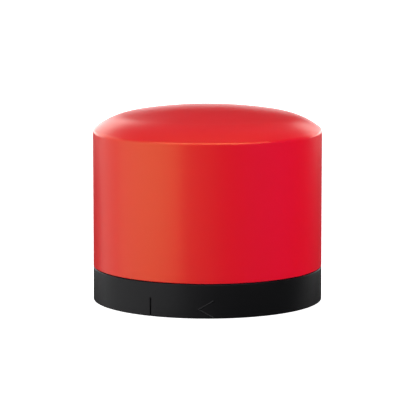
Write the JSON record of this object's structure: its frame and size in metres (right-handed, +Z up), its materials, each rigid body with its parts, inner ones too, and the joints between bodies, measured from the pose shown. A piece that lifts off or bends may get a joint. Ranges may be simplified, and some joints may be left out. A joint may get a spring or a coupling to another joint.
{
  "type": "signal tower light module",
  "caption": "Cylindrical beacon module with a shallow domed translucent lens that turns and lifts off a bayonet collar, over an LED core and sprung contacts.",
  "frame": {"origin": "centre of the collar's bottom face, on the axis of the lens", "axes": "+Z up along the axis towards the crown of the lens, -Y towards the turning marks on the collar"},
  "size_m": [0.07, 0.07, 0.0592],
  "materials": {
    "red_lens": "satin, coloured through, milky translucent",
    "black_plastic": "satin moulded",
    "clear_liner": "clear moulded with upright prisms",
    "black_rubber": "moulded",
    "grey_carrier": "moulded",
    "gold_contact": "gold plated",
    "spring_steel": "drawn wire",
    "zinc_steel": "zinc plated",
    "green_board": "solder mask over fibreglass",
    "white_board": "white solder mask",
    "white_post": "moulded",
    "led_package": "phosphor and clear silicone",
    "chip_black": "moulded epoxy",
    "capacitor_sleeve": "shrink sleeve",
    "ferrite": "pressed ferrite with copper winding",
    "varistor_blue": "dipped epoxy",
    "switch_red": "moulded",
    "slider_white": "moulded"
  },
  "bodies": {
    "base": {"base_collar": "black_plastic", "contact_carrier": "grey_carrier", "tower_seal": "black_rubber", "carrier_screw_1": "zinc_steel", "carrier_screw_2": "zinc_steel", "carrier_screw_3": "zinc_steel", "board_screw_1": "zinc_steel", "board_screw_2": "zinc_steel", "board_screw_3": "zinc_steel", "post_screw_1": "zinc_steel", "post_screw_2": "zinc_steel", "top_screw": "zinc_steel", "contact_spring_1": "spring_steel", "contact_spring_2": "spring_steel", "contact_spring_3": "spring_steel", "contact_spring_4": "spring_steel", "contact_spring_5": "spring_steel", "contact_spring_6": "spring_steel", "main_board": "green_board", "smoothing_capacitor": "capacitor_sleeve", "choke": "ferrite", "bridge_rectifier": "chip_black", "driver_chip": "chip_black", "surge_varistor": "varistor_blue", "mode_switch_body": "switch_red", "led_post": "white_post", "led_board_1": "white_board", "led_board_2": "white_board", "led_board_3": "white_board", "led_board_4": "white_board", "top_board": "white_board", "led_1_1": "led_package", "led_1_2": "led_package", "led_1_3": "led_package", "led_2_1": "led_package", "led_2_2": "led_package", "led_2_3": "led_package", "led_3_1": "led_package", "led_3_2": "led_package", "led_3_3": "led_package", "led_4_1": "led_package", "led_4_2": "led_package", "led_4_3": "led_package", "top_led_1": "led_package", "top_led_2": "led_package", "top_led_3": "led_package"},
    "seal_ring": {"lens_seal": "black_rubber"},
    "lens": {"lens_dome": "red_lens", "lens_liner": "clear_liner"},
    "slider_1": {"mode_slider_1": "slider_white"},
    "slider_2": {"mode_slider_2": "slider_white"},
    "slider_3": {"mode_slider_3": "slider_white"},
    "plunger_1": {"contact_plunger_1": "gold_contact"},
    "plunger_2": {"contact_plunger_2": "gold_contact"},
    "plunger_3": {"contact_plunger_3": "gold_contact"},
    "plunger_4": {"contact_plunger_4": "gold_contact"},
    "plunger_5": {"contact_plunger_5": "gold_contact"},
    "plunger_6": {"contact_plunger_6": "gold_contact"}
  },
  "joints": [
    {"name": "lens_twist", "type": "hinge", "parent": "base", "child": "seal_ring", "pos_m": [0, 0, 0.0105], "axis": [0, 0, 1], "range_deg": [-20, 0]},
    {"name": "lens_lift", "type": "slide", "parent": "seal_ring", "child": "lens", "axis": [0, 0, 1], "range_m": [0, 0.031]},
    {"name": "mode_slider_1_travel", "type": "slide", "parent": "base", "child": "slider_1", "axis": [0, 1, 0], "range_m": [0, 0.0016]},
    {"name": "mode_slider_2_travel", "type": "slide", "parent": "base", "child": "slider_2", "axis": [0, 1, 0], "range_m": [0, 0.0016]},
    {"name": "mode_slider_3_travel", "type": "slide", "parent": "base", "child": "slider_3", "axis": [0, 1, 0], "range_m": [0, 0.0016]},
    {"name": "plunger_1_travel", "type": "slide", "parent": "base", "child": "plunger_1", "axis": [0, 0, 1], "range_m": [0, 0.0012], "stiffness_N_per_m": 500, "springref_m": -0.0004, "deforming": ["contact_spring_1"]},
    {"name": "plunger_2_travel", "type": "slide", "parent": "base", "child": "plunger_2", "axis": [0, 0, 1], "range_m": [0, 0.0012], "stiffness_N_per_m": 500, "springref_m": -0.0004, "deforming": ["contact_spring_2"]},
    {"name": "plunger_3_travel", "type": "slide", "parent": "base", "child": "plunger_3", "axis": [0, 0, 1], "range_m": [0, 0.0012], "stiffness_N_per_m": 500, "springref_m": -0.0004, "deforming": ["contact_spring_3"]},
    {"name": "plunger_4_travel", "type": "slide", "parent": "base", "child": "plunger_4", "axis": [0, 0, 1], "range_m": [0, 0.0012], "stiffness_N_per_m": 500, "springref_m": -0.0004, "deforming": ["contact_spring_4"]},
    {"name": "plunger_5_travel", "type": "slide", "parent": "base", "child": "plunger_5", "axis": [0, 0, 1], "range_m": [0, 0.0012], "stiffness_N_per_m": 500, "springref_m": -0.0004, "deforming": ["contact_spring_5"]},
    {"name": "plunger_6_travel", "type": "slide", "parent": "base", "child": "plunger_6", "axis": [0, 0, 1], "range_m": [0, 0.0012], "stiffness_N_per_m": 500, "springref_m": -0.0004, "deforming": ["contact_spring_6"]}
  ]
}
